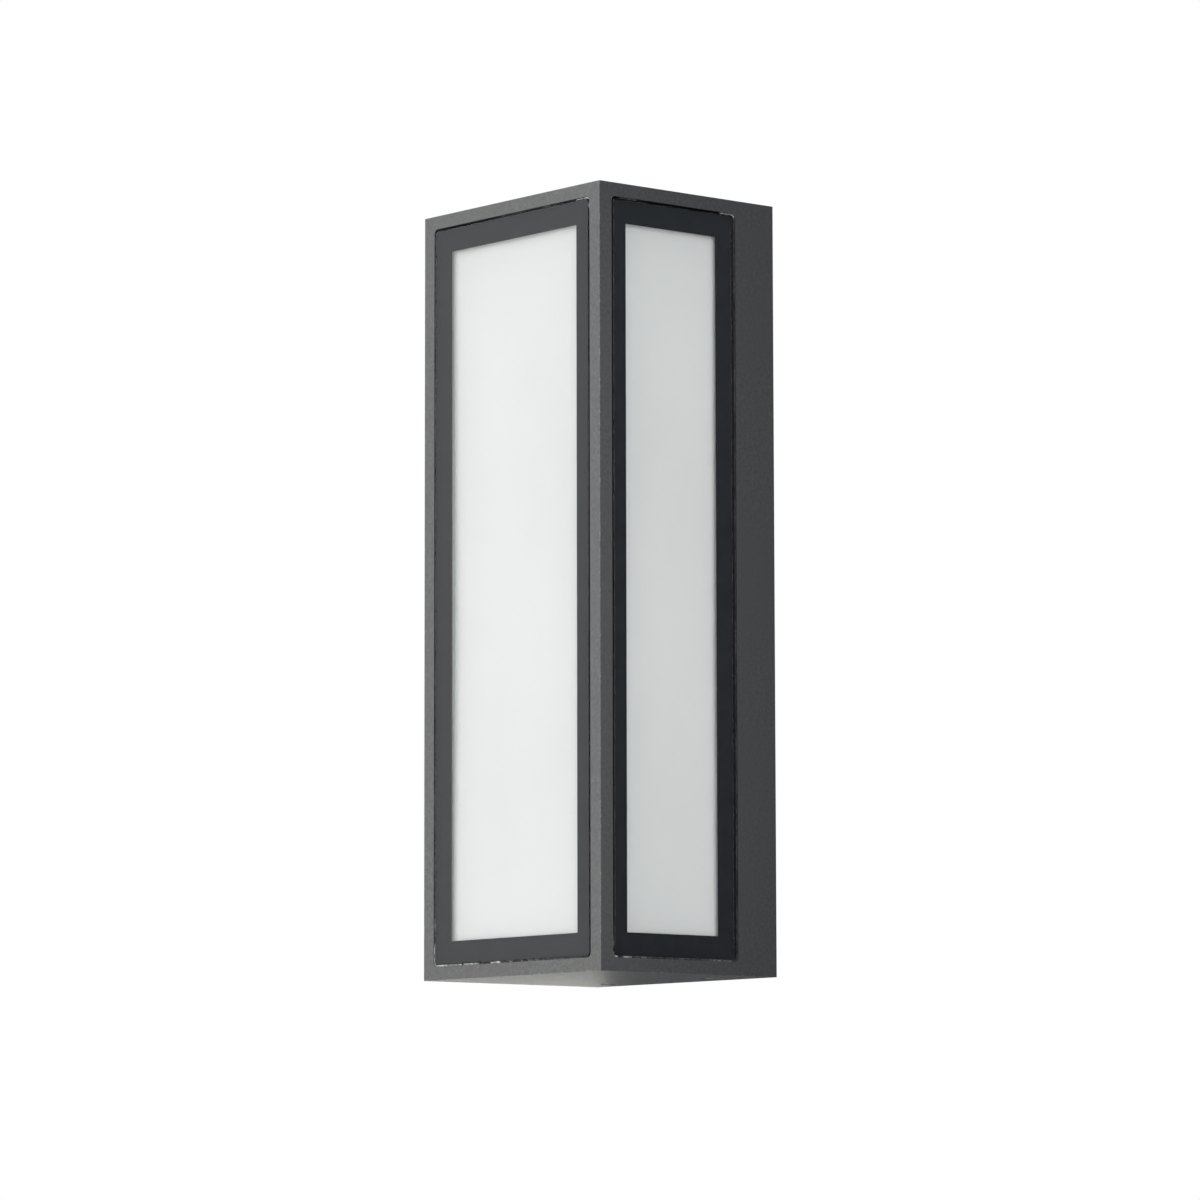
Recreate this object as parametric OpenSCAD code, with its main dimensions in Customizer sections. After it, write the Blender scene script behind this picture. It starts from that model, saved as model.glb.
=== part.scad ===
// Outdoor wall lantern: a slim rectangular housing with three glazed opal windows, which slides
// off a wall plate that carries the lampholder, the lamp and the terminal block.
// +X is to the right seen from the front, +Y points into the wall and +Z is up. The origin is on
// the wall, midway between the two wall screws and at half the housing's height.

/* [Housing] */
// Width of the housing
body_w = 107; // [105:1:112]
// Depth of the housing from the wall to the front
body_d = 88; // [88:1:96]
// Height of the housing
body_h = 300; // [298:1:320]
// Width of the frame beside each window
rim_w = 6; // [5.5:0.5:6.5]
// Width of the frame above and below each window
end_rim_w = 5.2; // [5:0.1:6.5]
// Width of the plain margin behind each side window
rear_margin = 19.5; // [19:0.5:21]
// Thickness of the top, the bottom and the rear side walls
wall_t = 2.5; // [2:0.5:3]
// Radius of each window's corners
window_r = 2; // [1.5:0.5:5]

/* [Glazing] */
// Thickness of each glass pane
glass_t = 3; // [2.5:0.5:3.5]
// Gap round each pane, filled with silicone
pane_gap = 0.8; // [0.5:0.1:1.2]
// How far each pane sits below the face of the housing
pane_recess = 0.3; // [0.2:0.1:0.5]
// Width of the printed border beside the front window's opening, from the window's edge
front_print_w = 9.4; // [8.5:0.1:10]
// Width of the printed border beside each side window's opening
side_print_w = 8.6; // [8.5:0.1:10]
// Width of the printed border above and below each opening
end_print_w = 9.7; // [8.5:0.1:10]
// Width of the flange behind each pane
flange_w = 7.5; // [6:0.5:8]
// Thickness of the foam tape between each flange and its opal sheet
tape_t = 0.3; // [0.2:0.1:1.5]
// Thickness of the opal sheets
sheet_t = 2; // [1.5:0.5:2]

/* [Wall plate] */
// Distance between the two wall screws
wall_screw_spacing = 240; // [230:1:250]
// Diameter of the two wall screw holes
wall_screw_hole_d = 5.5; // [4.5:0.5:6]
// Bore of the cable grommet
cable_bore_d = 8; // [6:0.5:9]

/* [Lamp] */
// Diameter of the lamp's globe
globe_d = 60; // [55:1:60]
// Distance from the wall to the lamp's axis
lamp_y = 41; // [40:0.5:43]
// Height of the lampholder's seat, from the middle of the housing
seat_z = -62; // [-66:1:-60]

/* [Hidden] */

$fn = 48;
eps = 0.5;

// Windows. Each is drawn in its own frame: x to the right, y up and z outwards from the face.
window_h = body_h - 2 * end_rim_w;
front_window_w = body_w - 2 * rim_w;
side_window_w = body_d - rim_w - rear_margin;
side_window_y = -rear_margin - side_window_w / 2;
print_t = 0.1;
bed_t = 0.2;
rebate_depth = pane_recess + glass_t + print_t + bed_t;
flange_t = 1;
frame_t = rebate_depth + flange_t;
sheet_depth = frame_t + tape_t;
seal_recess = 0.3;

// Opal sheets, and what holds them
front_sheet_w = front_window_w - 6.6;
side_sheet_w = side_window_w - 8.5;
sheet_h = window_h - 4;
tape_inset = 0.2;
clip_w = 8;
clip_t = 0.6;
clip_reach = 10;
clip_boss_h = 4;
clip_tongue_h = 9;
front_clip_x = 26;
side_clip_x = 14;
m3_r = 1.5;
m4_r = 2;
thread_room = 0.05;

// Space inside the walls
inner_w = body_w - 2 * wall_t;
inner_h = body_h - 2 * wall_t;
rear_zone = 13.5;
lip_w = 3.5;
lip_t = 2;
lip_y = -10;

// Wall plate
gasket_t = 2;
plate_t = 2;
plate_front = -gasket_t - plate_t;
plate_room = 0.3;
plate_w = inner_w - 2 * plate_room;
plate_h = inner_h - 2 * plate_room;
tray_w = inner_w - 2 * lip_w - 2;
tray_h = inner_h - 2 * lip_w - 2;
tray_t = 1.5;
tray_d = 10;
shelf_d = 18;
seal_front = lip_y + lip_t + plate_room;

// Lock screws in the underside
lock_x = 30;
lock_y = -14;
lock_head_r = 3.2;
lock_head_h = 3;
lock_boss_r = 5;
lock_room = 0.2;
nut_w = 7;
nut_h = 3.2;
shelf_bottom = -tray_h / 2;
nut_bottom = shelf_bottom + tray_t + 0.1;

// Locating pins at the top
pin_r = 2.5;
pin_x = 36;
pin_z = inner_h / 2 - 11.5;
pin_reach = 30;
lug_y = -32;
lug_t = 8;
lug_w = 10;
pin_room = 0.1;

// Cable entry and terminal block
cable_x = -26;
cable_z = -97;
grommet_hole_r = 8;
block_x = 12;
block_z = -97;
block_w = 34;
block_h = 18;
block_d = 14;
block_base = 4;
pole_pitch = 12;
pole_w = 8;
block_screw_room = 3;
barrel_y = plate_front - 7;
barrel_r = 2.4;
barrel_bore_r = 1.5;
barrel_h = 16;

// Lampholder and lamp, seen along the lamp's axis
bracket_w = 40;
bracket_t = 2;
bracket_foot_h = 22;
bracket_screw_x = 12;
bracket_screw_z = seat_z - 12;
shelf_front = -lamp_y - 21;
holder_r = 20;
holder_h = 46;
holder_floor_z = seat_z + 10;
lead_x = 7;
holder_screw_x = 14;
shell_r = 14.3;
cap_r = 13.25;
cap_bottom = holder_floor_z + 8;
cap_h = 24;
lamp_tip = cap_bottom - 4.5;
globe_r = globe_d / 2;
globe_z = lamp_tip + 110 - globe_r;
globe_rim_r = globe_r - 1.5;
globe_rim_z = globe_z - sqrt(globe_r * globe_r - globe_rim_r * globe_rim_r);
neck_z = cap_bottom + cap_h;

// Earth connection
earth_x = 34;
earth_z = -58;

// Routes of the leads, from the terminal block to their other ends
lead_r = 1.2;
lead_sides = 8;
live_route = [
    [12, -11, -96], [12, -11, -90], [12, -11, -84], [11.2, -12, -78.5], [9.8, -16, -75],
    [8.4, -22, -74], [7.3, -29, -74], [7, -35, -73], [7, -39, -70], [7, -40.8, -66],
    [7, -41, -60], [7, -41, -52]
];
neutral_route = [
    [0, -11, -96], [0, -11, -90], [0, -11, -84], [-1.4, -12, -78.5], [-3.8, -16, -75],
    [-5.8, -22, -74], [-6.8, -29, -74], [-7, -35, -73], [-7, -39, -70], [-7, -40.8, -66],
    [-7, -41, -60], [-7, -41, -52]
];
earth_route = [
    [24, -11, -96], [24, -11, -91], [24.4, -11, -86], [26.4, -10.4, -82], [29.6, -9, -79],
    [32.4, -7.4, -76], [33.8, -6.5, -73], [34, -6.4, -70], [34, -6.4, -67.6]
];

// Shapes used by several parts

// A rectangle with round corners, centred on the origin
module rounded_rect(w, h, r) {
    square([w - 2 * r, h], center = true);
    square([w, h - 2 * r], center = true);
    for (x = [-1, 1], y = [-1, 1])
        translate([x * (w / 2 - r), y * (h / 2 - r)])
            circle(r);
}

// A flat plate with round corners between two heights
module plate(w, h, r, low, high) {
    translate([0, 0, low])
        linear_extrude(high - low)
            rounded_rect(w, h, r);
}

// A cylinder along Y between two depths
module rod_y(r, from, to) {
    translate([0, to, 0])
        rotate([90, 0, 0])
            cylinder(r = r, h = to - from);
}

// A box between two corners
module block(low, high) {
    translate(low)
        cube(high - low);
}

// A rectangular ring round Y, given by its outer size and its wall
module ring_y(w, h, t, from, to) {
    difference() {
        block([-w / 2, from, -h / 2], [w / 2, to, h / 2]);
        block([-w / 2 + t, from - eps, -h / 2 + t], [w / 2 - t, to + eps, h / 2 - t]);
    }
}

// Places its children, drawn in a window's frame, on the front face
module at_front() {
    translate([0, -body_d, 0])
        rotate([90, 0, 0])
            children();
}

// Places its children, drawn in a window's frame, on the right (1) or left (-1) face
module at_side(side) {
    mirror([side > 0 ? 0 : 1, 0, 0])
        translate([body_w / 2, side_window_y, 0])
            rotate([90, 0, 90])
                children();
}

// Repeats its children on both sides of the middle plane X = 0
module both_sides(x) {
    for (side = [-1, 1])
        translate([side * x, 0, 0])
            children();
}

// A pan-head screw along -Z with its head's underside at the origin
module pan_screw(r, length) {
    difference() {
        union() {
            translate([0, 0, -length])
                cylinder(r = r, h = length);
            cylinder(r = 1.8 * r, h = 1.1 * r);
        }
        for (turn = [0, 90])
            rotate([0, 0, turn])
                translate([-1.1 * r, -0.2 * r, 0.5 * r])
                    cube([2.2 * r, 0.4 * r, r]);
    }
}

// One window's pieces, in the window's frame

module window_cut(w) {
    plate(w, window_h, window_r, -rebate_depth, eps);
    plate(w - 2 * flange_w, window_h - 2 * flange_w, window_r, -frame_t - eps, eps);
}

module pane(w) {
    plate(w - 2 * pane_gap, window_h - 2 * pane_gap, window_r - pane_gap,
        -pane_recess - glass_t, -pane_recess);
}

module pane_print(w, border) {
    back = -pane_recess - glass_t - print_t;
    difference() {
        plate(w - 2 * pane_gap, window_h - 2 * pane_gap, window_r - pane_gap, back, back + print_t);
        plate(w - 2 * border, window_h - 2 * end_print_w, 0.5, back - eps, back + eps);
    }
}

module pane_seal(w) {
    difference() {
        plate(w, window_h, window_r, -rebate_depth, -pane_recess - seal_recess);
        plate(w - 2 * pane_gap, window_h - 2 * pane_gap, window_r - pane_gap,
            -rebate_depth + bed_t, eps);
        plate(w - 2 * flange_w, window_h - 2 * flange_w, window_r, -rebate_depth - eps, eps);
    }
}

module opal_sheet(w) {
    plate(w, sheet_h, 1, -sheet_depth - sheet_t, -sheet_depth);
}

module sheet_tape(sheet_w, window_w) {
    difference() {
        plate(sheet_w, sheet_h, 1, -sheet_depth, -frame_t);
        plate(window_w - 2 * flange_w - 2 * tape_inset, window_h - 2 * flange_w - 2 * tape_inset,
            window_r, -sheet_depth - eps, eps);
    }
}

// Repeats its children at a window's four clips, with y up the wall that the clip is screwed to
module at_clips(x) {
    for (side = [-1, 1], end = [0, 1])
        mirror([0, end, 0])
            translate([side * x, inner_h / 2 - clip_boss_h, -sheet_depth - sheet_t])
                children();
}

module clip_boss() {
    block([-clip_w / 2, 0, -clip_reach - 1], [clip_w / 2, clip_boss_h + eps, -clip_reach + 7]);
}

module clip_screw_hole(length, r) {
    translate([0, -eps, -clip_reach / 2 - 2])
        rotate([-90, 0, 0])
            cylinder(r = r, h = length + eps);
}

module sheet_clip() {
    difference() {
        union() {
            block([-clip_w / 2, -clip_t, -clip_reach - 1], [clip_w / 2, 0, 0]);
            block([-clip_w / 2, -clip_tongue_h, -clip_t], [clip_w / 2, 0, 0]);
        }
        translate([0, -clip_t, 0])
            clip_screw_hole(2 * clip_t, m3_r + 0.1);
    }
}

module clip_screw() {
    translate([0, -clip_t, -clip_reach / 2 - 2])
        rotate([90, 0, 0])
            pan_screw(m3_r, 5);
}

// Repeats its children at every clip of the three windows
module at_all_clips() {
    at_front()
        at_clips(front_clip_x)
            children();
    for (side = [-1, 1])
        at_side(side)
            at_clips(side_clip_x)
                children();
}

// Housing and glazing

module housing_walls() {
    difference() {
        block([-body_w / 2, -body_d, -body_h / 2], [body_w / 2, 0, body_h / 2]);
        block([-inner_w / 2, -rear_zone, -inner_h / 2], [inner_w / 2, eps, inner_h / 2]);
        block([-body_w / 2 + frame_t, -body_d + frame_t, -inner_h / 2],
            [body_w / 2 - frame_t, eps, inner_h / 2]);
        at_front()
            window_cut(front_window_w);
        for (side = [-1, 1])
            at_side(side)
                window_cut(side_window_w);
    }
}

module pin_lugs() {
    both_sides(pin_x)
        block([-lug_w / 2, lug_y, pin_z - lug_w / 2],
            [lug_w / 2, lug_y + lug_t, inner_h / 2 + eps]);
}

module lock_bosses() {
    both_sides(lock_x)
        translate([0, lock_y, -body_h / 2 + eps])
            cylinder(r = lock_boss_r, h = shelf_bottom - plate_room + body_h / 2 - eps);
}

module housing() {
    color([0.29, 0.30, 0.31])
        difference() {
            union() {
                housing_walls();
                ring_y(inner_w + eps, inner_h + eps, lip_w + eps / 2, lip_y, lip_y + lip_t);
                pin_lugs();
                lock_bosses();
                at_all_clips()
                    clip_boss();
            }
            at_all_clips()
                clip_screw_hole(5, m3_r + thread_room);
            both_sides(pin_x)
                translate([0, 0, pin_z])
                    rod_y(pin_r + pin_room, lug_y - eps, lug_y + lug_t + eps);
            both_sides(lock_x)
                translate([0, lock_y, -body_h / 2 - eps]) {
                    cylinder(r = m4_r + lock_room, h = shelf_bottom + body_h / 2 + 2 * eps);
                    cylinder(r = lock_head_r + lock_room, h = lock_head_h + lock_room + eps);
                }
        }
}

module front_glass() {
    color([0.85, 0.9, 0.88, 0.35])
        at_front()
            pane(front_window_w);
}

module side_glass(side) {
    color([0.85, 0.9, 0.88, 0.35])
        at_side(side)
            pane(side_window_w);
}

module front_glass_print() {
    color([0.06, 0.06, 0.065])
        at_front()
            pane_print(front_window_w, front_print_w);
}

module side_glass_print(side) {
    color([0.06, 0.06, 0.065])
        at_side(side)
            pane_print(side_window_w, side_print_w);
}

module front_glass_seal() {
    color([0.72, 0.74, 0.74])
        at_front()
            pane_seal(front_window_w);
}

module side_glass_seal(side) {
    color([0.72, 0.74, 0.74])
        at_side(side)
            pane_seal(side_window_w);
}

module front_diffuser() {
    color([0.93, 0.94, 0.93])
        at_front()
            opal_sheet(front_sheet_w);
}

module side_diffuser(side) {
    color([0.93, 0.94, 0.93])
        at_side(side)
            opal_sheet(side_sheet_w);
}

module diffuser_tapes() {
    color([0.55, 0.57, 0.54]) {
        at_front()
            sheet_tape(front_sheet_w, front_window_w);
        for (side = [-1, 1])
            at_side(side)
                sheet_tape(side_sheet_w, side_window_w);
    }
}

module diffuser_clips() {
    color([0.75, 0.76, 0.78])
        at_all_clips()
            sheet_clip();
}

module diffuser_clip_screws() {
    color([0.75, 0.76, 0.78])
        at_all_clips()
            clip_screw();
}

// A socket-head screw that points up from the underside
module lock_screw(side) {
    head_z = -body_h / 2 + lock_room;
    color([0.62, 0.63, 0.65])
        translate([side * lock_x, lock_y, head_z])
            difference() {
                union() {
                    cylinder(r = lock_head_r, h = lock_head_h);
                    cylinder(r = m4_r, h = nut_bottom + nut_h + 0.8 - head_z);
                }
                translate([0, 0, -eps])
                    cylinder(r = 1.75, h = 1.8 + eps, $fn = 6);
            }
}

module lock_nuts() {
    color([0.75, 0.76, 0.78])
        both_sides(lock_x)
            translate([0, lock_y, nut_bottom])
                difference() {
                    translate([-nut_w / 2, -nut_w / 2, 0])
                        cube([nut_w, nut_w, nut_h]);
                    translate([0, 0, -eps])
                        cylinder(r = m4_r + thread_room, h = nut_h + 2 * eps);
                }
}

// Wall plate and its seals

module wall_screw_holes(r, from, to) {
    for (end = [-1, 1])
        translate([0, 0, end * wall_screw_spacing / 2])
            rod_y(r, from, to);
}

// The holes for the wall plate's own screws, each r wider than its screw
module plate_screw_holes(room, from, to) {
    for (x = [-bracket_screw_x, bracket_screw_x])
        translate([x, 0, bracket_screw_z])
            rod_y(m4_r + room, from, to);
    translate([earth_x, 0, earth_z])
        rod_y(m4_r + room, from, to);
    translate([block_x - pole_pitch / 2, 0, block_z])
        rod_y(m3_r + room, from, to);
}

module base_plate() {
    front = plate_front;
    color([0.78, 0.79, 0.8])
        difference() {
            block([-plate_w / 2, front, -plate_h / 2], [plate_w / 2, -gasket_t, plate_h / 2]);
            wall_screw_holes(wall_screw_hole_d / 2, front - eps, -gasket_t + eps);
            plate_screw_holes(thread_room, front - eps, -gasket_t + eps);
            translate([cable_x, 0, cable_z])
                rod_y(grommet_hole_r, front - eps, -gasket_t + eps);
            both_sides(pin_x)
                translate([0, 0, pin_z])
                    rod_y(pin_r + thread_room, front - eps, -gasket_t + eps);
        }
}

// The rail that the housing's lip goes round, with a notched shelf for the lock screws
module plate_rail() {
    notch_r = m4_r + 0.5;
    front = plate_front - shelf_d;
    color([0.78, 0.79, 0.8])
        difference() {
            union() {
                ring_y(tray_w, tray_h, tray_t, plate_front - tray_d, plate_front);
                block([-tray_w / 2, front, shelf_bottom],
                    [tray_w / 2, plate_front, shelf_bottom + tray_t]);
            }
            both_sides(lock_x) {
                translate([0, lock_y, shelf_bottom - eps])
                    cylinder(r = notch_r, h = tray_t + 2 * eps);
                block([-notch_r, front - eps, shelf_bottom - eps],
                    [notch_r, lock_y, shelf_bottom + tray_t + eps]);
            }
        }
}

module wall_gasket() {
    color([0.12, 0.12, 0.12])
        difference() {
            block([-plate_w / 2 + 0.2, -gasket_t, -plate_h / 2 + 0.2],
                [plate_w / 2 - 0.2, 0, plate_h / 2 - 0.2]);
            wall_screw_holes(4, -gasket_t - eps, eps);
            plate_screw_holes(2, -gasket_t - eps, eps);
            translate([cable_x, 0, cable_z])
                rod_y(12, -gasket_t - eps, eps);
        }
}

module housing_gasket() {
    color([0.1, 0.1, 0.1])
        ring_y(plate_w - 0.4, plate_h - 0.4, (plate_w - tray_w) / 2 - 0.5, seal_front,
            plate_front);
}

module locating_pins() {
    color([0.75, 0.76, 0.78])
        both_sides(pin_x)
            translate([0, -gasket_t, pin_z])
                rotate([90, 0, 0]) {
                    cylinder(r = pin_r, h = pin_reach);
                    translate([0, 0, pin_reach])
                        cylinder(r1 = pin_r, r2 = pin_r - 1, h = 2);
                }
}

module cable_grommet() {
    lip = 1.6;
    color([0.09, 0.09, 0.09])
        translate([cable_x, 0, cable_z])
            difference() {
                union() {
                    rod_y(grommet_hole_r, plate_front - lip, -gasket_t + lip);
                    rod_y(grommet_hole_r + 2, plate_front - lip, plate_front);
                    rod_y(grommet_hole_r + 2, -gasket_t, -gasket_t + lip);
                }
                rod_y(cable_bore_d / 2, plate_front - lip - eps, eps);
            }
}

// Lampholder

module lampholder_bracket() {
    color([0.78, 0.79, 0.8])
        difference() {
            union() {
                block([-bracket_w / 2, plate_front - bracket_t, seat_z - bracket_foot_h],
                    [bracket_w / 2, plate_front, seat_z]);
                block([-bracket_w / 2, shelf_front, seat_z - bracket_t],
                    [bracket_w / 2, plate_front, seat_z]);
            }
            for (x = [-bracket_screw_x, bracket_screw_x])
                translate([x, 0, bracket_screw_z])
                    rod_y(m4_r + 0.2, plate_front - bracket_t - eps, plate_front + eps);
            translate([0, -lamp_y, seat_z - bracket_t - eps]) {
                cylinder(r = 10, h = bracket_t + 2 * eps);
                both_sides(holder_screw_x)
                    cylinder(r = m3_r + 0.1, h = bracket_t + 2 * eps);
            }
        }
}

module bracket_screws() {
    color([0.75, 0.76, 0.78])
        for (x = [-bracket_screw_x, bracket_screw_x])
            translate([x, plate_front - bracket_t, bracket_screw_z])
                rotate([90, 0, 0])
                    pan_screw(m4_r, 3.8);
}

module lampholder_body() {
    color([0.9, 0.89, 0.86])
        translate([0, -lamp_y, seat_z])
            difference() {
                union() {
                    cylinder(r = holder_r, h = holder_h - 2);
                    cylinder(r = holder_r - 1, h = holder_h);
                    cylinder(r = holder_r + 1, h = 6);
                    translate([0, 0, holder_h - 9])
                        cylinder(r = holder_r + 1, h = 5);
                }
                translate([0, 0, holder_floor_z - seat_z])
                    cylinder(r = shell_r + 0.7, h = holder_h);
                translate([0, 0, -eps])
                    cylinder(r = 10, h = 6 + eps);
                both_sides(lead_x)
                    cylinder(r = lead_r + 0.3, h = holder_h / 2);
                both_sides(holder_screw_x)
                    translate([0, 0, -eps])
                        cylinder(r = m3_r + thread_room, h = 7 + eps);
            }
}

// The threaded sleeve, with a tab on the floor for the neutral lead
module lampholder_shell() {
    color([0.8, 0.68, 0.38])
        translate([0, -lamp_y, holder_floor_z]) {
            difference() {
                translate([0, 0, 5])
                    cylinder(r = shell_r, h = 27);
                translate([0, 0, 5 - eps])
                    cylinder(r = shell_r - 0.6, h = 27 + 2 * eps);
            }
            intersection() {
                union() {
                    block([-shell_r, -3, 0], [-shell_r + 0.8, 3, 6]);
                    block([-shell_r, -3, 0], [-lead_x + 3, 3, clip_t]);
                }
                cylinder(r = shell_r, h = 6);
            }
        }
}

// The springy centre contact, with a tab on the floor for the live lead
module lampholder_contact() {
    color([0.8, 0.68, 0.38])
        translate([0, -lamp_y + 3, holder_floor_z])
            rotate([90, 0, 0])
                linear_extrude(6)
                    polygon([
                        [9, 0], [9, 0.6], [3, 0.6], [-2.6, 3.3], [-3, 2.8], [2.9, 0]
                    ]);
}

module lampholder_screws() {
    color([0.75, 0.76, 0.78])
        translate([0, -lamp_y, seat_z - bracket_t])
            both_sides(holder_screw_x)
                rotate([180, 0, 0])
                    pan_screw(m3_r, 7);
}

// Lamp

module lamp_globe() {
    color([0.95, 0.95, 0.93])
        translate([0, -lamp_y, 0])
            intersection() {
                difference() {
                    translate([0, 0, globe_z])
                        sphere(globe_r);
                    translate([0, 0, globe_z])
                        sphere(globe_r - 1.2);
                }
                translate([0, 0, globe_rim_z])
                    cylinder(r = globe_r + eps, h = 2 * globe_r);
            }
}

// The lamp's body: a cone from the neck of the cap up to the globe's rim
module lamp_collar() {
    color([0.93, 0.93, 0.92])
        translate([0, -lamp_y, 0])
            rotate_extrude()
                polygon([
                    [0, neck_z], [cap_r - 0.4, neck_z], [cap_r + 0.4, neck_z + 4],
                    [globe_rim_r - 6, globe_rim_z - 14], [globe_rim_r, globe_rim_z - 3],
                    [globe_rim_r, globe_rim_z], [0, globe_rim_z]
                ]);
}

// The screw cap, with its turns of thread drawn as rings
module lamp_cap() {
    ridge = 1.1;
    turns = 4;
    pitch = 4.2;
    color([0.8, 0.8, 0.79])
        translate([0, -lamp_y, cap_bottom])
            difference() {
                union() {
                    cylinder(r = cap_r - ridge, h = cap_h);
                    for (turn = [0 : turns - 1])
                        translate([0, 0, 2 + pitch * turn]) {
                            cylinder(r1 = cap_r - ridge, r2 = cap_r, h = ridge);
                            translate([0, 0, ridge])
                                cylinder(r1 = cap_r, r2 = cap_r - ridge, h = ridge);
                        }
                }
                translate([0, 0, -eps])
                    cylinder(r = cap_r - ridge - 0.5, h = cap_h - 1 + eps);
            }
}

module lamp_cap_insulator() {
    ridge = 1.6;
    color([0.05, 0.05, 0.06])
        translate([0, -lamp_y, cap_bottom]) {
            cylinder(r = cap_r - ridge, h = 2);
            translate([0, 0, -3])
                cylinder(r1 = 6, r2 = cap_r - ridge, h = 3);
        }
}

module lamp_contact() {
    color([0.8, 0.8, 0.79])
        translate([0, -lamp_y, lamp_tip])
            cylinder(r1 = 3.6, r2 = 4.6, h = 1.5);
}

// Terminal block

module at_poles() {
    for (pole = [-1, 0, 1])
        translate([block_x + pole * pole_pitch, 0, block_z])
            children();
}

module terminal_block() {
    color([0.9, 0.9, 0.88])
        difference() {
            union() {
                block([block_x - block_w / 2, plate_front - block_base, block_z - block_h / 2],
                    [block_x + block_w / 2, plate_front, block_z + block_h / 2]);
                at_poles()
                    block([-pole_w / 2, plate_front - block_d, -block_h / 2],
                        [pole_w / 2, plate_front, block_h / 2]);
            }
            at_poles() {
                translate([0, barrel_y, -barrel_h / 2])
                    cylinder(r = barrel_r + thread_room, h = barrel_h);
                translate([0, barrel_y, -block_h])
                    cylinder(r = barrel_bore_r + 0.4, h = 2 * block_h);
                for (end = [-1, 1])
                    translate([0, 0, end * 4.5])
                        rod_y(1.9, plate_front - block_d - eps, barrel_y);
            }
            translate([block_x - pole_pitch / 2, 0, block_z]) {
                rod_y(m3_r + 0.1, plate_front - block_base - eps, eps);
                rod_y(block_screw_room, plate_front - block_d - eps, plate_front - block_base);
            }
        }
}

module terminal_barrels() {
    color([0.8, 0.68, 0.38])
        at_poles()
            translate([0, barrel_y, -barrel_h / 2])
                difference() {
                    cylinder(r = barrel_r, h = barrel_h);
                    translate([0, 0, -eps])
                        cylinder(r = barrel_bore_r, h = barrel_h + 2 * eps);
                    for (end = [-1, 1])
                        translate([0, 0, barrel_h / 2 + end * 4.5])
                            rod_y(1.25, -2 * barrel_r, 0);
                }
}

module terminal_screws() {
    color([0.75, 0.76, 0.78])
        at_poles()
            for (end = [-1, 1])
                translate([0, 0, end * 4.5])
                    difference() {
                        union() {
                            rod_y(1.2, plate_front - block_d + 1, barrel_y - 1.3);
                            rod_y(1.8, plate_front - block_d + 1, plate_front - block_d + 3.4);
                        }
                        block([-2, plate_front - block_d, -0.25],
                            [2, plate_front - block_d + 1.8, 0.25]);
                    }
}

module terminal_block_screw() {
    color([0.75, 0.76, 0.78])
        translate([block_x - pole_pitch / 2, plate_front - block_base, block_z])
            rotate([90, 0, 0])
                pan_screw(m3_r, 5.8);
}

// Earth connection

module earth_screw() {
    color([0.8, 0.68, 0.38])
        translate([earth_x, plate_front - 1.8, earth_z])
            rotate([90, 0, 0])
                pan_screw(m4_r, 3.6);
}

module earth_washer() {
    color([0.75, 0.76, 0.78])
        translate([earth_x, 0, earth_z])
            difference() {
                rod_y(4.5, plate_front - 1.8, plate_front - 1);
                rod_y(m4_r + 0.15, plate_front - 3, eps);
            }
}

module earth_tag() {
    color([0.78, 0.74, 0.6])
        translate([earth_x, 0, earth_z])
            difference() {
                union() {
                    rod_y(4, plate_front - 1, plate_front);
                    block([-2, plate_front - 1, -8], [2, plate_front, 0]);
                    translate([0, plate_front - 2.2, -12])
                        cylinder(r = 2.2, h = 5);
                }
                rod_y(m4_r + 0.15, plate_front - 2, eps);
                translate([0, plate_front - 2.4, -12 - eps])
                    cylinder(r = 1.5, h = 4);
            }
}

// Leads

function unit(v) = v / norm(v);

function tangent(route, i) = unit(route[min(i + 1, len(route) - 1)] - route[max(i - 1, 0)]);

// A point on the smooth curve through the route, t of the way from point i to the next
function on_curve(route, i, t) =
    let (
        last = len(route) - 1,
        a = route[max(i - 1, 0)],
        b = route[i],
        c = route[min(i + 1, last)],
        d = route[min(i + 2, last)]
    )
    b + t * (c - a) / 2 + t * t * (a - 2.5 * b + 2 * c - d / 2)
        + t * t * t * (-a + 3 * b - 3 * c + d) / 2;

function smoothed(route) = [
    for (i = [0 : len(route) - 2], half = [0, 1]) on_curve(route, i, half / 2),
    route[len(route) - 1]
];

// A round tube swept along the route's points
module lead(route) {
    path = smoothed(route);
    rings = [
        for (i = [0 : len(path) - 1])
            let (
                forward = tangent(path, i),
                across = unit(cross(forward, [0.9, 0.2, 0.1])),
                up = cross(across, forward)
            )
            for (side = [0 : lead_sides - 1])
                path[i] + lead_r * (cos(360 * side / lead_sides) * across
                    + sin(360 * side / lead_sides) * up)
    ];
    last = (len(path) - 1) * lead_sides;
    polyhedron(
        points = rings,
        faces = [
            [for (side = [0 : lead_sides - 1]) side],
            [for (side = [lead_sides - 1 : -1 : 0]) last + side],
            for (i = [0 : len(path) - 2], side = [0 : lead_sides - 1])
                let (
                    a = i * lead_sides + side,
                    b = i * lead_sides + (side + 1) % lead_sides
                )
                [a, a + lead_sides, b + lead_sides, b]
        ]
    );
}

module lead_live() {
    color([0.35, 0.2, 0.12])
        lead(live_route);
}

module lead_neutral() {
    color([0.12, 0.25, 0.6])
        lead(neutral_route);
}

module lead_earth() {
    color([0.35, 0.6, 0.15])
        lead(earth_route);
}

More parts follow.
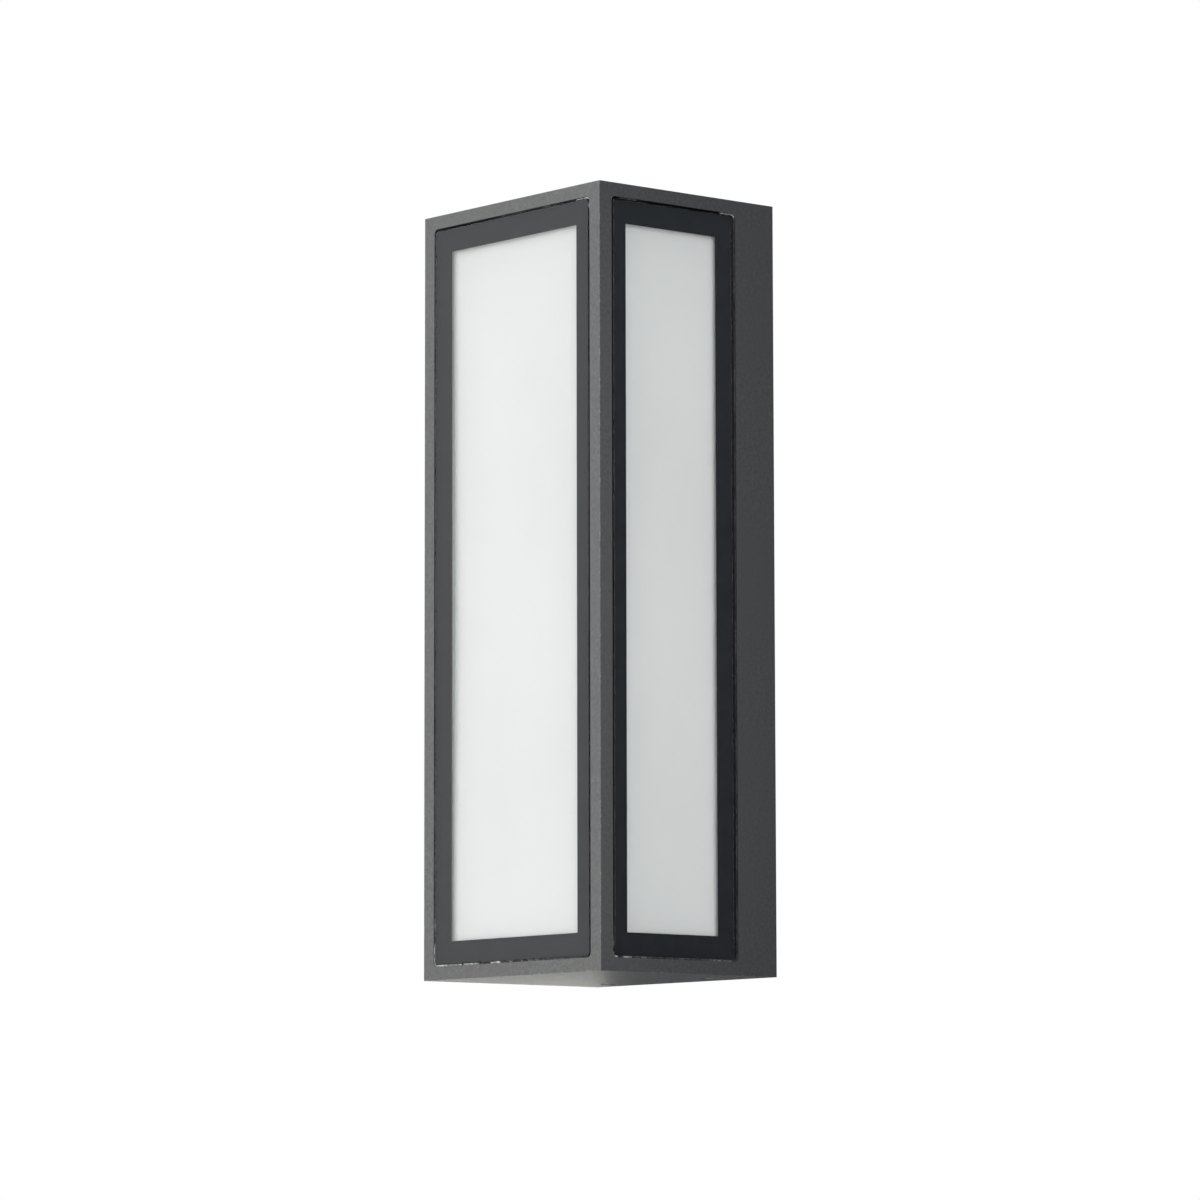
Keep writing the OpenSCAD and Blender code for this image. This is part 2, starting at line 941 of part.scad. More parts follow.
housing();
front_glass();
side_glass(-1);  // left_glass
side_glass(1);  // right_glass
front_glass_print();
side_glass_print(-1);  // left_glass_print
side_glass_print(1);  // right_glass_print
front_glass_seal();
side_glass_seal(-1);  // left_glass_seal
side_glass_seal(1);  // right_glass_seal
front_diffuser();
side_diffuser(-1);  // left_diffuser
side_diffuser(1);  // right_diffuser
diffuser_tapes();
diffuser_clips();
diffuser_clip_screws();
lock_screw(-1);  // lock_screw_left
lock_screw(1);  // lock_screw_right
lock_nuts();
base_plate();
plate_rail();
wall_gasket();
housing_gasket();
locating_pins();
cable_grommet();
lampholder_bracket();
bracket_screws();
lampholder_body();
lampholder_shell();
lampholder_contact();
lampholder_screws();
lamp_globe();
lamp_collar();
lamp_cap();
lamp_cap_insulator();
lamp_contact();
terminal_block();
terminal_barrels();
terminal_screws();
terminal_block_screw();
earth_screw();
earth_washer();
earth_tag();
lead_live();
lead_neutral();
lead_earth();
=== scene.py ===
"""The looks of an outdoor wall lantern: a powder-coated housing with three black-bordered panes
over opal sheets, which slides off a wall plate that holds a screw-cap lamp."""

import math

import bpy
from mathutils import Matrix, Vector, noise


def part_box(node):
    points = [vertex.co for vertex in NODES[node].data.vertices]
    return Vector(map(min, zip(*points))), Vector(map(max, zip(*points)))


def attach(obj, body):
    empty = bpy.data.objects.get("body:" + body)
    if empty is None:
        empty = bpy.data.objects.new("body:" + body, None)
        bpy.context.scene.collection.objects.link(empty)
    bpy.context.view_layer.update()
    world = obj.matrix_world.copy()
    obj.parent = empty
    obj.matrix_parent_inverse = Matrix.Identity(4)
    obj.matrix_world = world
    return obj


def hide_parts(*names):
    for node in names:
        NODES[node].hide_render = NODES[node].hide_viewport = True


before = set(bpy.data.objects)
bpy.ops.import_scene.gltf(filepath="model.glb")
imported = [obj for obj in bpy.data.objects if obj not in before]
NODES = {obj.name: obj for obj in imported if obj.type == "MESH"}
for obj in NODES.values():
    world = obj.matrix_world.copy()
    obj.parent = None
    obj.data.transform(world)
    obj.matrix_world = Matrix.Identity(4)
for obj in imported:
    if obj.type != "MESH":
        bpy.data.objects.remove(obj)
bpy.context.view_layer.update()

MM = 0.001
LOW, HIGH = (Vector(corner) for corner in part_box("housing"))
TAU = 2 * math.pi


# Node materials ---------------------------------------------------------------------------

class Nodes:
    """A node tree, with short calls for the nodes that the materials and the world share."""

    def __init__(self, tree):
        self.tree = tree
        self.tree.nodes.clear()

    def link(self, source, socket):
        if isinstance(source, bpy.types.NodeSocket):
            self.tree.links.new(source, socket)
        else:
            socket.default_value = source

    def node(self, kind, inputs=(), **settings):
        made = self.tree.nodes.new(kind)
        for key, value in settings.items():
            setattr(made, key, value)
        for key, value in dict(inputs).items():
            self.link(value, made.inputs[key])
        return made

    def between(self, value, low, high, to_low=0.0, to_high=1.0, smooth=True):
        """Value mapped from low..high to to_low..to_high and held at both ends."""
        return self.node(
            "ShaderNodeMapRange",
            {0: value, 1: low, 2: high, 3: to_low, 4: to_high},
            interpolation_type="SMOOTHSTEP" if smooth else "LINEAR",
        ).outputs[0]

    def maths(self, operation, a, b=0.0):
        return self.node("ShaderNodeMath", {0: a, 1: b}, operation=operation).outputs[0]

    def mix(self, factor, a, b):
        """Colours a and b mixed by factor."""
        return self.node(
            "ShaderNodeMix", {"Factor": factor, 6: a, 7: b}, data_type="RGBA"
        ).outputs[2]


class Shader(Nodes):
    """A material's node tree."""

    def __init__(self, name):
        self.mat = bpy.data.materials.new(name)
        self.mat.use_nodes = True
        super().__init__(self.mat.node_tree)
        self.out = self.tree.nodes.new("ShaderNodeOutputMaterial")
        self.place = self.tree.nodes.new("ShaderNodeTexCoord").outputs["Object"]

    def noise(self, size, detail=3, rough=0.55, stretch=None):
        """Noise whose features are about size metres across, from 0 to 1."""
        vector = self.place
        if stretch:
            vector = self.node("ShaderNodeMapping", {"Vector": vector, "Scale": stretch}).outputs[0]
        return self.node(
            "ShaderNodeTexNoise",
            {"Vector": vector, "Scale": 1 / size, "Detail": detail, "Roughness": rough},
        ).outputs["Fac"]

    def cells(self, size):
        """The outputs of a cell pattern whose cells are about size metres across."""
        return self.node(
            "ShaderNodeTexVoronoi", {"Vector": self.place, "Scale": 1 / size}, feature="F1"
        ).outputs

    def one_cell_value(self, cells):
        """A value from 0 to 1 that is the same all over each cell."""
        return self.node("ShaderNodeSeparateColor", {0: cells["Color"]}).outputs[0]

    def attribute(self, name):
        return self.node("ShaderNodeAttribute", attribute_name=name).outputs["Fac"]

    def bump(self, height, distance, strength, normal=None):
        inputs = {"Height": height, "Distance": distance, "Strength": strength}
        if normal is not None:
            inputs["Normal"] = normal
        return self.node("ShaderNodeBump", inputs).outputs[0]

    def surface(self, **inputs):
        """A Principled shader, with its sockets named as base_color for Base Color."""
        made = self.tree.nodes.new("ShaderNodeBsdfPrincipled")
        for key, value in inputs.items():
            words = (word.upper() if word == "ior" else word.title() for word in key.split("_"))
            self.link(value, made.inputs[" ".join(words)])
        self.finish(made)
        return made

    def finish(self, made):
        self.tree.links.new(made.outputs[0], self.out.inputs["Surface"])


def grey(value):
    return (value, value, value, 1)


def outside_edges(look):
    """1 along the housing's outer edges, falling to 0 about half a millimetre away."""
    reach = 0.55 * MM
    split = look.node("ShaderNodeSeparateXYZ", {0: look.place}).outputs
    near = [
        look.between(look.maths("ABSOLUTE", split[0]), HIGH.x - reach, HIGH.x, smooth=False),
        look.between(split[1], LOW.y + reach, LOW.y, smooth=False),
        look.between(look.maths("ABSOLUTE", split[2]), HIGH.z - reach, HIGH.z, smooth=False),
    ]
    pairs = [look.maths("MULTIPLY", near[a], near[b]) for a, b in ((0, 1), (0, 2), (1, 2))]
    return look.maths("MAXIMUM", look.maths("MAXIMUM", pairs[0], pairs[1]), pairs[2])


def powder_coat():
    """Anthracite metallic powder coat: orange peel, fine flakes, thin spots on the edges, a painted
    highlight all along the outer edges, and dark specks of painted shade for tiny pits.
    """
    look = Shader("powder_coat")
    mottle = look.noise(1.3 * MM, detail=4, rough=0.7)
    broad = look.noise(38 * MM, detail=2)
    grain = look.noise(0.34 * MM, detail=2, rough=0.6)
    flake = look.cells(0.9 * MM)
    glint = look.between(flake["Distance"], 0.3, 0.12)
    pick = look.one_cell_value(flake)
    flakes = look.maths("MULTIPLY", glint, look.between(pick, 0.78, 0.82))
    # Dark specks: painted shade that stands in for tiny pits in the coat
    shaded_pits = look.maths("MULTIPLY", glint, look.between(pick, 0.16, 0.12))
    edge = outside_edges(look)
    rubbed = look.between(look.noise(2.6 * MM, detail=4, rough=0.7), 0.55, 0.66)
    worn = look.maths("MULTIPLY", edge, rubbed)
    tone = look.mix(look.between(mottle, 0.34, 0.66), (0.136, 0.137, 0.136, 1), (0.177, 0.178, 0.177, 1))
    tone = look.mix(look.between(broad, 0.35, 0.65, 0, 0.6), tone, (0.158, 0.155, 0.149, 1))
    tone = look.mix(look.maths("MULTIPLY", flakes, 0.5), tone, grey(0.36))
    tone = look.mix(look.maths("MULTIPLY", shaded_pits, 0.5), tone, grey(0.06))
    # Paler all along the outer edges: a painted highlight where the edges catch light
    tone = look.mix(look.maths("MULTIPLY", edge, 0.15), tone, grey(0.26))
    tone = look.mix(look.maths("MULTIPLY", worn, 0.45), tone, grey(0.42))
    peel = look.bump(look.noise(1.1 * MM, detail=2), 0.05 * MM, 0.5)
    look.surface(
        base_color=tone,
        metallic=0.88,
        roughness=look.between(mottle, 0.3, 0.7, 0.42, 0.32),
        normal=look.bump(grain, 0.03 * MM, 0.45, peel),
        specular_ior_level=0.4,
    )
    return look.mat


def clear_glass():
    """Low-iron float glass with faint smears. Lamps shine straight through it."""
    look = Shader("clear_glass")
    smear = look.noise(30 * MM, detail=5, rough=0.7, stretch=(1, 1, 0.35))
    pane = look.surface(
        base_color=look.mix(look.between(smear, 0.3, 0.7), (0.97, 0.99, 0.98, 1), (0.96, 0.98, 0.97, 1)),
        roughness=look.between(smear, 0.68, 0.8, 0.0, 0.02),
        transmission_weight=1.0,
        ior=1.5,
    )
    see = look.node("ShaderNodeBsdfTransparent", {"Color": (0.92, 0.94, 0.93, 1)})
    shadow = look.node("ShaderNodeLightPath").outputs["Is Shadow Ray"]
    both = look.node("ShaderNodeMixShader", {0: shadow, 1: pane.outputs[0], 2: see.outputs[0]})
    look.finish(both)
    return look.mat


def printed_enamel():
    """Black enamel fired on the back of the glass, slightly uneven in depth."""
    look = Shader("printed_enamel")
    cloud = look.noise(9 * MM, detail=4, rough=0.6)
    pin = look.between(look.noise(0.5 * MM, detail=1), 0.72, 0.78)
    tone = look.mix(look.between(cloud, 0.3, 0.7), (0.009, 0.0095, 0.011, 1), (0.014, 0.015, 0.017, 1))
    tone = look.mix(look.maths("MULTIPLY", pin, 0.5), tone, grey(0.05))
    look.surface(
        base_color=tone,
        roughness=look.between(cloud, 0.3, 0.7, 0.5, 0.6),
        specular_ior_level=0.06,
    )
    return look.mat


def silicone():
    """Clear silicone, coloured near black down in the gap as painted shade, and pale where it stands up
    in lumps and where the gap is shallow: partly its own cloudiness, partly a painted highlight.
    """
    look = Shader("silicone")
    lump = look.attribute("lump")
    cloud = look.noise(1.3 * MM, detail=4, rough=0.65)
    cloudy = look.between(cloud, 0.3, 0.62, 0.35, 1.0)
    # From painted shade, near black deep in the gap, to pale silicone with a painted highlight on lumps
    # and shallow parts
    painted_shade_to_highlight = look.maths("MULTIPLY", look.between(lump, 0.12, 0.75), cloudy)
    tone = look.mix(painted_shade_to_highlight, (0.005, 0.005, 0.006, 1), (0.72, 0.73, 0.72, 1))
    look.surface(
        base_color=tone,
        roughness=look.between(cloud, 0.3, 0.7, 0.2, 0.4),
        ior=1.41,
        specular_ior_level=look.between(painted_shade_to_highlight, 0.0, 0.3, 0.08, 0.5),
        normal=look.bump(look.noise(0.9 * MM, detail=3), 0.25 * MM, 0.7),
    )
    return look.mat


def opal(name, tone, spread):
    """Satin opal plastic, in which light spreads sideways by about spread metres."""
    look = Shader(name)
    cloud = look.noise(60 * MM, detail=2)
    dust = look.between(look.noise(0.8 * MM, detail=2), 0.68, 0.8)
    shade = tuple(0.975 * c for c in tone[:3]) + (1,)
    colour = look.mix(look.between(cloud, 0.3, 0.7), tone, shade)
    colour = look.mix(look.maths("MULTIPLY", dust, 0.08), colour, grey(0.6))
    look.surface(
        base_color=colour,
        roughness=look.between(look.noise(4 * MM), 0.3, 0.7, 0.42, 0.52),
        subsurface_weight=1.0,
        subsurface_radius=(1, 1, 1),
        subsurface_scale=spread,
        normal=look.bump(look.noise(0.5 * MM, detail=2), 0.01 * MM, 0.3),
    )
    return look.mat


def foam(name, light, dark, cell):
    """Closed-cell foam with small open pores on its cut faces."""
    look = Shader(name)
    pores = look.cells(cell)["Distance"]
    look.surface(
        # Darker towards each pore's middle: painted shade inside the pores
        base_color=look.mix(look.between(pores, 0.15, 0.6), dark, light),
        roughness=look.between(look.noise(2 * cell), 0.3, 0.7, 0.8, 0.95),
        normal=look.bump(pores, 0.3 * cell, 0.7),
    )
    return look.mat


def rubber():
    """Black moulded rubber with a dusty bloom."""
    look = Shader("rubber")
    bloom = look.between(look.noise(5 * MM, detail=5, rough=0.7), 0.42, 0.68)
    look.surface(
        base_color=look.mix(bloom, grey(0.016), grey(0.042)),
        roughness=look.between(bloom, 0, 1, 0.5, 0.75),
        normal=look.bump(look.noise(0.4 * MM, detail=3), 0.04 * MM, 0.5),
    )
    return look.mat


def galvanised():
    """Galvanised sheet: pale spangles of differing tone and shine, with light scuffs."""
    look = Shader("galvanised")
    pick = look.one_cell_value(look.cells(7 * MM))
    feather = look.noise(1.2 * MM, detail=4, rough=0.7)
    value = look.maths("ADD", look.maths("MULTIPLY", pick, 0.7), look.maths("MULTIPLY", feather, 0.3))
    scuff = look.between(look.noise(0.6 * MM, detail=3, stretch=(1, 1, 0.06)), 0.64, 0.74)
    tone = look.mix(look.between(value, 0.1, 0.9), (0.42, 0.44, 0.45, 1), (0.66, 0.68, 0.69, 1))
    tone = look.mix(look.maths("MULTIPLY", scuff, 0.4), tone, grey(0.78))
    look.surface(
        base_color=tone,
        metallic=1.0,
        roughness=look.between(value, 0.1, 0.9, 0.5, 0.3),
        normal=look.bump(feather, 0.02 * MM, 0.4),
    )
    return look.mat


def bright_metal(name, light, dark, rough=0.3, stretch=(1, 1, 0.12)):
    """Drawn or plated metal with fine lines, dull patches and a little tarnish."""
    look = Shader(name)
    lines = look.noise(0.35 * MM, detail=3, rough=0.7, stretch=stretch)
    patch = look.between(look.noise(3 * MM, detail=5, rough=0.65), 0.4, 0.66)
    tone = look.mix(patch, light, dark)
    tone = look.mix(look.maths("MULTIPLY", look.between(lines, 0.35, 0.7), 0.25), tone, grey(0.9))
    look.surface(
        base_color=tone,
        metallic=1.0,
        roughness=look.between(patch, 0, 1, rough, rough + 0.18),
        normal=look.bump(lines, 0.01 * MM, 0.35),
    )
    return look.mat


def plastic(name, light, dark, rough=0.4, coat=0.0):
    """Moulded plastic with a fine spark-eroded texture and slight mottling."""
    look = Shader(name)
    cloud = look.between(look.noise(8 * MM, detail=4), 0.3, 0.7)
    look.surface(
        base_color=look.mix(cloud, light, dark),
        roughness=look.between(look.noise(1.5 * MM), 0.3, 0.7, rough, rough + 0.12),
        normal=look.bump(look.noise(0.25 * MM, detail=2), 0.008 * MM, 0.4),
        coat_weight=coat,
    )
    return look.mat


def porcelain():
    """Glazed white porcelain with faint pinholes and a warm body colour."""
    look = Shader("porcelain")
    cloud = look.between(look.noise(12 * MM, detail=4), 0.3, 0.7)
    pin = look.between(look.noise(0.7 * MM, detail=1), 0.75, 0.8)
    tone = look.mix(cloud, (0.8, 0.78, 0.72, 1), (0.74, 0.71, 0.64, 1))
    tone = look.mix(look.maths("MULTIPLY", pin, 0.6), tone, (0.25, 0.2, 0.15, 1))
    look.surface(
        base_color=tone,
        roughness=look.between(look.noise(2 * MM), 0.3, 0.7, 0.16, 0.3),
        coat_weight=0.5,
        normal=look.bump(look.noise(2.5 * MM, detail=2), 0.05 * MM, 0.4),
    )
    return look.mat


def striped_wire(name, ground, stripe):
    """Wire insulation in two colours, in stripes that run along the wire."""
    look = Shader(name)
    turn = look.attribute("round")
    band = look.between(look.maths("ABSOLUTE", look.maths("SUBTRACT", turn, 0.5)), 0.24, 0.26)
    cloud = look.between(look.noise(2 * MM, detail=3), 0.3, 0.7)
    tone = look.mix(band, ground, stripe)
    tone = look.mix(look.maths("MULTIPLY", cloud, 0.15), tone, grey(0.02))
    look.surface(
        base_color=tone,
        roughness=look.between(cloud, 0, 1, 0.32, 0.45),
        normal=look.bump(look.noise(0.4 * MM, detail=2), 0.01 * MM, 0.4),
    )
    return look.mat


POWDER = powder_coat()
GLASS = clear_glass()
ENAMEL = printed_enamel()
SILICONE = silicone()
OPAL = opal("opal_acrylic", (0.785, 0.757, 0.75, 1), 2 * MM)
GLOBE = opal("opal_globe", (0.93, 0.93, 0.9, 1), 1.5 * MM)
TAPE = foam("grey_foam", (0.36, 0.4, 0.36, 1), (0.2, 0.23, 0.2, 1), 0.5 * MM)
GASKET = foam("black_foam", grey(0.035), grey(0.012), 0.7 * MM)
RUBBER = rubber()
GALVANISED = galvanised()
ZINC = bright_metal("zinc_plate", (0.62, 0.64, 0.68, 1), (0.45, 0.47, 0.5, 1))
STAINLESS = bright_metal("stainless_steel", (0.55, 0.54, 0.52, 1), (0.42, 0.41, 0.4, 1), 0.26)
SPRING = bright_metal("spring_steel", (0.56, 0.57, 0.6, 1), (0.4, 0.41, 0.44, 1), 0.24, (0.12, 1, 1))
BRASS = bright_metal("brass", (0.8, 0.6, 0.27, 1), (0.62, 0.42, 0.17, 1), 0.24)
NICKEL = bright_metal("nickel_plate", (0.74, 0.72, 0.67, 1), (0.58, 0.56, 0.51, 1), 0.2)
PORCELAIN = porcelain()
LAMP_WHITE = plastic("lamp_plastic", (0.84, 0.84, 0.81, 1), (0.8, 0.8, 0.76, 1), 0.34, 0.2)
INSULATOR = plastic("cap_insulator", grey(0.012), grey(0.02), 0.2, 0.4)
NYLON = plastic("natural_nylon", (0.78, 0.77, 0.71, 1), (0.72, 0.71, 0.64, 1), 0.42)
BROWN = striped_wire("brown_wire", (0.13, 0.045, 0.018, 1), (0.115, 0.04, 0.016, 1))
BLUE = striped_wire("blue_wire", (0.015, 0.075, 0.4, 1), (0.013, 0.065, 0.35, 1))
GREEN = striped_wire("green_yellow_wire", (0.1, 0.36, 0.03, 1), (0.75, 0.6, 0.02, 1))


# CAD nodes that keep their shape ------------------------------------------------------------

def round_edges(ob, width, segments, angle):
    """Rounds an object's edges that turn by more than angle degrees."""
    cut = ob.modifiers.new("rounding", "BEVEL")
    cut.width = width
    cut.segments = segments
    cut.limit_method = "ANGLE"
    cut.angle_limit = math.radians(angle)
    cut.harden_normals = True


def dress(node, material, bevel=0.0, segments=2):
    """Gives a CAD node its material, and rounds its sharp edges by bevel metres."""
    ob = NODES[node]
    for holder in ob.material_slots:
        holder.link = "OBJECT"
        holder.material = material
    if bevel:
        round_edges(ob, bevel, segments, angle=35)


dress("housing", POWDER, 0.3 * MM, 3)
dress("diffuser_clips", SPRING, 0.15 * MM)
dress("diffuser_clip_screws", ZINC, 0.1 * MM)
dress("lock_screw_left", STAINLESS, 0.12 * MM)
dress("lock_screw_right", STAINLESS, 0.12 * MM)
dress("lock_nuts", ZINC, 0.2 * MM)
dress("base_plate", GALVANISED, 0.35 * MM)
dress("plate_rail", GALVANISED, 0.35 * MM)
dress("wall_gasket", GASKET, 0.2 * MM)
dress("housing_gasket", RUBBER, 0.6 * MM, 3)
dress("locating_pins", ZINC, 0.15 * MM)
dress("cable_grommet", RUBBER, 0.4 * MM, 3)
dress("lampholder_bracket", GALVANISED, 0.3 * MM)
dress("bracket_screws", ZINC, 0.15 * MM)
dress("lampholder_body", PORCELAIN, 0.7 * MM, 3)
dress("lampholder_shell", BRASS, 0.1 * MM)
dress("lampholder_contact", BRASS, 0.1 * MM)
dress("lampholder_screws", ZINC, 0.1 * MM)
dress("lamp_globe", GLOBE)
dress("lamp_collar", LAMP_WHITE, 0.5 * MM, 3)
dress("lamp_cap_insulator", INSULATOR, 0.3 * MM)
dress("lamp_contact", NICKEL, 0.3 * MM)
dress("terminal_block", NYLON, 0.4 * MM)
dress("terminal_barrels", BRASS, 0.1 * MM)
dress("terminal_screws", ZINC, 0.1 * MM)
dress("terminal_block_screw", ZINC, 0.1 * MM)
dress("earth_screw", BRASS, 0.12 * MM)
dress("earth_washer", ZINC, 0.1 * MM)
dress("earth_tag", NICKEL, 0.12 * MM)


# Pieces built here in place of plain CAD solids ----------------------------------------------

def add_piece(name, verts, faces, body, material, replaced, smooth=True):
    """A new piece that moves with a body, in place of the CAD nodes in replaced."""
    mesh = bpy.data.meshes.new(name)
    mesh.from_pydata([tuple(v) for v in verts], [], faces)
    mesh.validate()
    mesh.update()
    if smooth:
        mesh.shade_smooth()
    ob = bpy.data.objects.new(name, mesh)
    bpy.context.collection.objects.link(ob)
    ob.data.materials.append(material)
    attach(ob, body)
    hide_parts(*replaced)
    return ob


def keep_values(ob, name, values):
    """Stores one value for each of a piece's points, for its material to read."""
    held = ob.data.attributes.new(name, "FLOAT", "POINT")
    held.data.foreach_set("value", values)


def loop_faces(rings, size, closed_path=False):
    """Quads between rings of size points each, which follow one another in a list."""
    faces = []
    last = rings if closed_path else rings - 1
    for i in range(last):
        a, b = i * size, (i + 1) % rings * size
        for k in range(size):
            m = (k + 1) % size
            faces.append((a + k, a + m, b + m, b + k))
    return faces


def turned_over(faces):
    return [tuple(reversed(face)) for face in faces]


def grid_faces(columns, rows):
    """Quads over a grid of points that are listed row by row."""
    faces = []
    for j in range(rows):
        for i in range(columns):
            a = j * (columns + 1) + i
            b = a + columns + 1
            faces.append((a, a + 1, b + 1, b))
    return faces


def border_faces(first, count):
    """Faces of a flat ring whose count corners have four points each, from first on: outer
    and inner at the front, then outer and inner at the back."""
    faces = []
    for i in range(count):
        a, b = first + 4 * i, first + 4 * ((i + 1) % count)
        faces += [
            (a, b, b + 1, a + 1),
            (a + 2, a + 3, b + 3, b + 2),
            (a, a + 2, b + 2, b),
            (a + 1, b + 1, b + 3, a + 3),
        ]
    return faces


def held_within(at, wide, tall):
    """The point nearest to at within a rectangle of half-width wide and half-height tall."""
    return Vector((max(-wide, min(wide, at.x)), max(-tall, min(tall, at.y))))


# How far each pane sits off the middle of its opening, to the right as seen from outside
PANE_SHIFTS = {"front": -0.4 * MM, "left": -0.3 * MM, "right": 0.3 * MM}


class Window:
    """A window's own frame: u to the right and v up along the pane, and depth inwards."""

    def __init__(self, side):
        self.side = side
        self.shift = PANE_SHIFTS[side]
        if side == "front":
            self.right, self.outward = Vector((1, 0, 0)), Vector((0, -1, 0))
            self.along, self.through = 0, 1
            self.face = -LOW.y
        else:
            turn = 1 if side == "right" else -1
            self.right, self.outward = Vector((0, turn, 0)), Vector((turn, 0, 0))
            self.along, self.through = 1, 0
            self.face = HIGH.x
        pane, opening = f"{side}_glass", f"{side}_glass_seal"
        low, high = (Vector(corner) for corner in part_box(opening))
        self.middle = (low + high) / 2
        self.width, self.height = self.size(opening)
        self.pane_width, self.pane_height = self.size(pane)
        self.pane_top = self.depth(pane, nearest=True)
        self.pane_back = self.depth(pane, nearest=False)

    def size(self, node):
        """A node's width and height as seen from outside."""
        low, high = (Vector(corner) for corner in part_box(node))
        return (high - low)[self.along], (high - low).z

    def depth(self, node, nearest):
        """How far below the housing's face a node starts (nearest) or ends."""
        reach = [abs(corner[self.through]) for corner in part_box(node)]
        return self.face - (max(reach) if nearest else min(reach))

    def point(self, u, v, depth):
        at = self.middle.copy()
        at[self.through] = math.copysign(self.face, self.outward[self.through])
        return at + u * self.right + Vector((0, 0, v)) - depth * self.outward


def rounded_path(width, height, radius, step):
    """Points anticlockwise round a rectangle with round corners, each with its outward normal.
    Straight sides are cut into equal lengths of about step, and corners into eighths."""
    path = []
    half_w, half_h = width / 2 - radius, height / 2 - radius
    corners = [
        (half_w, -half_h, -90), (half_w, half_h, 0), (-half_w, half_h, 90), (-half_w, -half_h, 180)
    ]
    sides = [height - 2 * radius, width - 2 * radius] * 2
    arcs = 8
    for (cx, cy, start), side in zip(corners, sides):
        for i in range(arcs + 1):
            angle = math.radians(start + 90 * i / arcs)
            normal = Vector((math.cos(angle), math.sin(angle)))
            path.append((Vector((cx, cy)) + radius * normal, normal))
        begin, normal = path[-1]
        along = Vector((-normal.y, normal.x))
        count = max(2, round(side / step))
        for i in range(1, count):
            path.append((begin + along * side * i / count, normal))
    return path


def glass_pane(window):
    """A pane whose edges are ground to a small round."""
    ground, corner, step = 0.25 * MM, 1.2 * MM, 4 * MM
    arc = [math.radians(turn) for turn in (0, 30, 60, 90)]
    rounding = [(ground * (1 - math.sin(turn)), ground * (1 - math.cos(turn))) for turn in arc]
    levels = [(inset, window.pane_top + sunk) for inset, sunk in rounding]
    levels += [(inset, window.pane_back - sunk) for inset, sunk in reversed(rounding)]
    verts = []
    for inset, depth in levels:
        width, height = window.pane_width - 2 * inset, window.pane_height - 2 * inset
        path = rounded_path(width, height, corner - inset, step)
        verts += [window.point(at.x + window.shift, at.y, depth) for at, _ in path]
    count = len(path)
    faces = turned_over(loop_faces(len(levels), count))
    faces.append(tuple(range(count)))
    faces.append(tuple(reversed(range(len(verts) - count, len(verts)))))
    add_piece(
        f"{window.side}_pane", verts, faces, "front_housing",
        GLASS, [f"{window.side}_glass"], smooth=False,
    )


WINDOW_RADIUS = 2 * MM
# Across the bead, from the pane to the frame: how far along, and how far down towards the trough
BEAD_PROFILE = ((-0.5, 0.0), (-0.36, 0.25), (-0.15, 0.8), (0.1, 1.0), (0.32, 1.0), (0.5, 0.7))


def lump_height(lumps, place, total, sample):
    """How far up the lumps reach, from 0 to 1, at a place from 0 to 1 round the pane."""
    overrun, slope = 1.2, 4
    usual, unevenness = 0.72, 0.5
    raised = 0.0
    for where, length, height in lumps:
        away = abs(place - where)
        away = min(away, 1 - away) * total / (length / 2)
        if away < overrun:
            ragged = usual + unevenness * noise.noise(sample * 0.8)
            raised = max(raised, height * ragged * min(1.0, slope * (overrun - away)))
    return min(1.0, raised)


def bead(window, lumps, troughs, seed):
    """The silicone round one pane: an uneven trough, with lumps that stand up to the face.
    lumps are (where round the pane from 0 to 1, length in metres, height from 0 to 1), and
    troughs are the depths in metres at the right, the top, the left and the bottom."""
    step, rim_drop = 0.9 * MM, 0.12 * MM
    lump_top, lump_sag, least_depth = 0.1 * MM, 0.3 * MM, 0.02 * MM
    wandering, smear = 0.25, 0.3
    fully_shaded_below, shallow_highlight = 1.6 * MM, 0.4
    middle, side_highlight = 0.35, 0.35
    gap = (window.width - window.pane_width) / 2
    path = rounded_path(window.width - gap, window.height - gap, WINDOW_RADIUS - gap / 2, step)
    travelled, total = [0.0], 0.0
    for (a, _), (b, _) in zip(path, path[1:] + path[:1]):
        total += (b - a).length
        travelled.append(total)
    rim = window.pane_top + rim_drop
    verts, highlight_values = [], []
    for distance, (at, normal) in zip(travelled, path):
        sample = Vector((at.x, at.y, seed)) / MM
        wander = noise.noise(sample * 0.09) + 0.5 * noise.noise(sample * 0.4)
        shares = (max(0, normal.x), max(0, normal.y), max(0, -normal.x), max(0, -normal.y))
        trough = sum(share * deep for share, deep in zip(shares, troughs)) / sum(shares)
        trough *= 1 + wandering * wander
        # Paler where the trough is shallow and darker where it is deep: painted shade in the gap
        shallow = shallow_highlight * max(0.0, 1 - trough / fully_shaded_below)
        raised = lump_height(lumps, distance / total, total, sample)

        def bead_point(across, depth, spread=1.0):
            uv = at + normal * across * gap * spread
            return window.point(uv.x + window.shift * (0.5 - across), uv.y, depth)

        for across, down in BEAD_PROFILE:
            low = rim + (trough - rim) * down
            high = lump_top + lump_sag * (2 * across) ** 2
            depth = max(least_depth, low * (1 - raised) + raised * high)
            at_edge = abs(across) == 0.5
            verts.append(bead_point(across, depth, 1 + smear * raised if at_edge else 1.0))
            highlight_values.append(max(shallow, raised * (1.0 if abs(across) < middle else side_highlight)))
        for across in (0.5, -0.5):
            verts.append(bead_point(across, window.pane_back))
            highlight_values.append(0.0)
    faces = loop_faces(len(path), len(BEAD_PROFILE) + 2, closed_path=True)
    ob = add_piece(
        f"{window.side}_silicone_bead", verts, faces, "front_housing",
        SILICONE, [f"{window.side}_glass_seal"],
    )
    # The lump values carry the painted shade in the gap and the painted highlight on the lumps
    keep_values(ob, "lump", highlight_values)


# For each window: how far the border reaches in from the opening's sides, how far from its top
# and bottom, and how far its inner edge sits to the right
BORDERS = {
    "front": (9.4 * MM, 9.7 * MM, -0.5 * MM),
    "left": (8.6 * MM, 9.7 * MM, 0.0),
    "right": (8.6 * MM, 9.7 * MM, 0.0),
}


